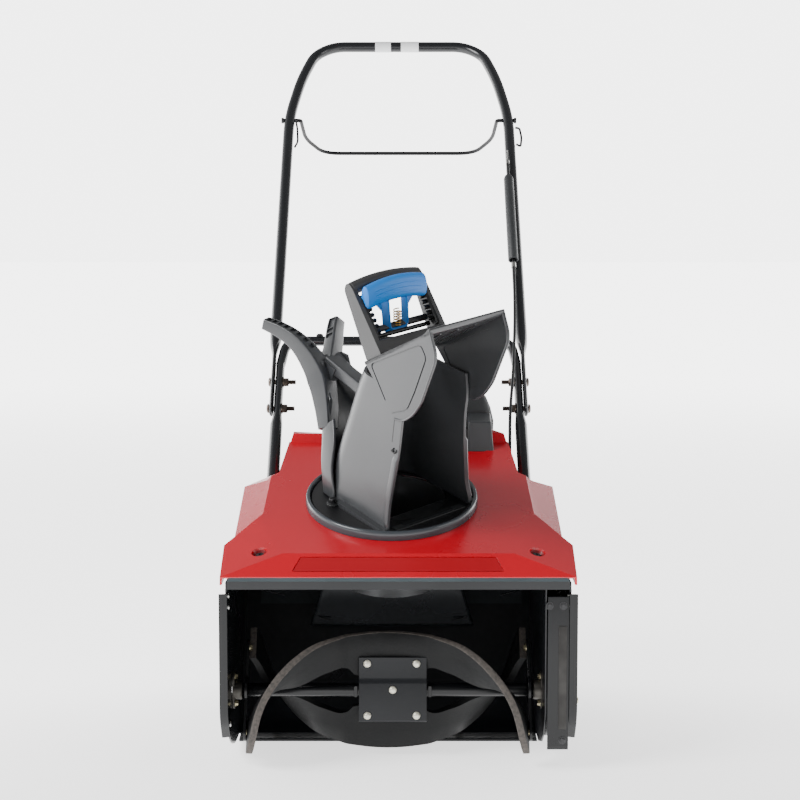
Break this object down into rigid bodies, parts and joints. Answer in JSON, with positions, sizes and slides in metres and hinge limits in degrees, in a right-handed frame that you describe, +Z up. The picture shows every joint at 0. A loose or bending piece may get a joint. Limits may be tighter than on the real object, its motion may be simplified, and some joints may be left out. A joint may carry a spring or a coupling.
{
  "type": "single stage snowblower",
  "caption": "Walk-behind snow thrower: paddle rotor in a sheet steel mouth, turning discharge chute with a tilting deflector, small engine, wheels and a tube handle with a bail.",
  "frame": {"origin": "on the ground, at the middle of the machine's overall length and width", "axes": "+Z up; the mouth and discharge side face -Y; the operator stands at +Y; +X is to the right of someone looking at the mouth from the front"},
  "size_m": [0.4946, 1.2387, 1.1355],
  "materials": {
    "black_steel": "semi-gloss black powder coat on sheet steel",
    "red_cover": "gloss red moulded plastic",
    "black_plastic": "satin black moulded plastic",
    "grey_plastic": "dark grey moulded plastic",
    "paddle_rubber": "black fibre-reinforced rubber sheet",
    "tyre_rubber": "black tyre rubber",
    "trigger_blue": "light blue moulded plastic",
    "zinc": "yellow zinc plated steel",
    "bright_steel": "bright plated steel",
    "cast_metal": "cast aluminium",
    "belt_rubber": "black rubber drive belt",
    "cable_sheath": "black plastic cable sheath",
    "pulley_metal": "plain cast metal",
    "bolt_white": "bright bolt head"
  },
  "bodies": {
    "machine": {"side_plate_left": "black_steel", "side_plate_right": "black_steel", "rotor_housing": "black_steel", "scraper": "grey_plastic", "throat_duct": "black_steel", "chute_collar": "black_plastic", "belt_case": "black_steel", "belt_cover": "black_plastic", "hood": "red_cover", "rotor_bearing_left": "zinc", "rotor_bearing_right": "zinc", "drive_belt": "belt_rubber", "chassis": "black_steel", "axle": "bright_steel", "engine_block": "cast_metal", "recoil_housing": "black_plastic", "engine_shroud": "black_plastic", "muffler": "black_steel", "fuel_tank": "grey_plastic", "upper_handle": "black_steel", "lower_handle": "black_steel", "handle_bolt_left_1": "zinc", "handle_bolt_left_2": "zinc", "handle_bolt_right_1": "zinc", "handle_bolt_right_2": "zinc", "spring_cover": "grey_plastic", "control_cable": "cable_sheath", "rope_guide": "bright_steel", "wire_loop": "bright_steel"},
    "rotor": {"rotor_shaft": "black_steel", "rotor_centre_plate": "black_steel", "rotor_paddle_front": "paddle_rubber", "rotor_paddle_rear": "paddle_rubber", "rotor_arm_left": "black_steel", "rotor_arm_right": "black_steel", "rotor_bolt_1": "bolt_white", "rotor_bolt_2": "bolt_white", "rotor_bolt_3": "bolt_white", "rotor_bolt_4": "bolt_white", "rotor_bolt_5": "bolt_white", "driven_pulley": "pulley_metal"},
    "crank": {"crankshaft": "bright_steel"},
    "idler": {"idler_arm": "black_steel"},
    "idler_wheel": {"idler_pulley": "pulley_metal"},
    "wheel_left": {"tyre_left": "tyre_rubber", "wheel_rim_left": "grey_plastic"},
    "wheel_right": {"tyre_right": "tyre_rubber", "wheel_rim_right": "grey_plastic"},
    "chute_turret": {"chute": "black_plastic", "chute_handle": "black_plastic", "chute_bolt": "bright_steel"},
    "deflector_flap": {"deflector": "black_plastic", "deflector_grip": "grey_plastic"},
    "trigger": {"deflector_trigger": "trigger_blue"},
    "bail_bar": {"bail": "black_steel"},
    "recoil_grip": {"recoil_handle": "black_plastic"},
    "cap": {"fuel_cap": "black_plastic"},
    "choke": {"choke_knob": "black_plastic"},
    "primer": {"primer_bulb": "red_cover"},
    "key": {"ignition_key": "black_plastic"}
  },
  "joints": [
    {"name": "rotor_spin", "type": "hinge", "parent": "machine", "child": "rotor", "pos_m": [-0.015, -0.4645, 0.098], "axis": [1, 0, 0], "continuous": true},
    {"name": "crank_spin", "type": "hinge", "parent": "machine", "child": "crank", "pos_m": [0.11, -0.136, 0.259], "axis": [1, 0, 0], "continuous": true},
    {"name": "idler_swing", "type": "hinge", "parent": "machine", "child": "idler", "pos_m": [0.21, -0.218, 0.212], "axis": [1, 0, 0], "range_deg": [0, 2.2]},
    {"name": "idler_spin", "type": "hinge", "parent": "idler", "child": "idler_wheel", "pos_m": [0.219, -0.274, 0.171], "axis": [1, 0, 0], "continuous": true},
    {"name": "wheel_left_spin", "type": "hinge", "parent": "machine", "child": "wheel_left", "pos_m": [-0.171, -0.091, 0.09], "axis": [1, 0, 0], "continuous": true},
    {"name": "wheel_right_spin", "type": "hinge", "parent": "machine", "child": "wheel_right", "pos_m": [0.171, -0.091, 0.09], "axis": [1, 0, 0], "continuous": true},
    {"name": "chute_rotate", "type": "hinge", "parent": "machine", "child": "chute_turret", "pos_m": [-0.01, -0.3555, 0.3649], "axis": [0, -0.3107, 0.9505], "range_deg": [-137, 63]},
    {"name": "deflector_tilt", "type": "hinge", "parent": "chute_turret", "child": "deflector_flap", "pos_m": [0.0261, -0.4632, 0.5401], "axis": [0.7986, 0.572, 0.187], "range_deg": [-8, 35]},
    {"name": "trigger_squeeze", "type": "slide", "parent": "deflector_flap", "child": "trigger", "axis": [-0.5381, 0.5401, 0.6471], "range_m": [0, 0.005], "stiffness_N_per_m": 700, "springref_m": -0.004},
    {"name": "bail_swing", "type": "hinge", "parent": "machine", "child": "bail_bar", "pos_m": [0, 0.41923, 0.96912], "axis": [1, 0, 0], "range_deg": [0, 52], "stiffness_Nm_per_rad": 1.2, "springref_deg": -28.65},
    {"name": "recoil_pull", "type": "slide", "parent": "machine", "child": "recoil_grip", "axis": [0, 1, 0], "range_m": [0, 0.18], "stiffness_N_per_m": 40, "springref_m": -0.15},
    {"name": "fuel_cap_turn", "type": "hinge", "parent": "machine", "child": "cap", "pos_m": [0, -0.066, 0.48], "axis": [0, 0, 1], "range_deg": [0, 90]},
    {"name": "choke_turn", "type": "hinge", "parent": "machine", "child": "choke", "pos_m": [0.04, 0.02, 0.33], "axis": [0, 1, 0], "range_deg": [0, 90]},
    {"name": "primer_press", "type": "slide", "parent": "machine", "child": "primer", "axis": [0, -1, 0], "range_m": [0, 0.006], "stiffness_N_per_m": 500, "springref_m": -0.002},
    {"name": "key_pull", "type": "slide", "parent": "machine", "child": "key", "axis": [0, 1, 0], "range_m": [0, 0.02]}
  ],
  "couplings": [
    {"joint": "crank_spin", "follows": "rotor_spin", "ratio": 2.067},
    {"joint": "idler_swing", "follows": "bail_swing", "ratio": 0.042}
  ]
}
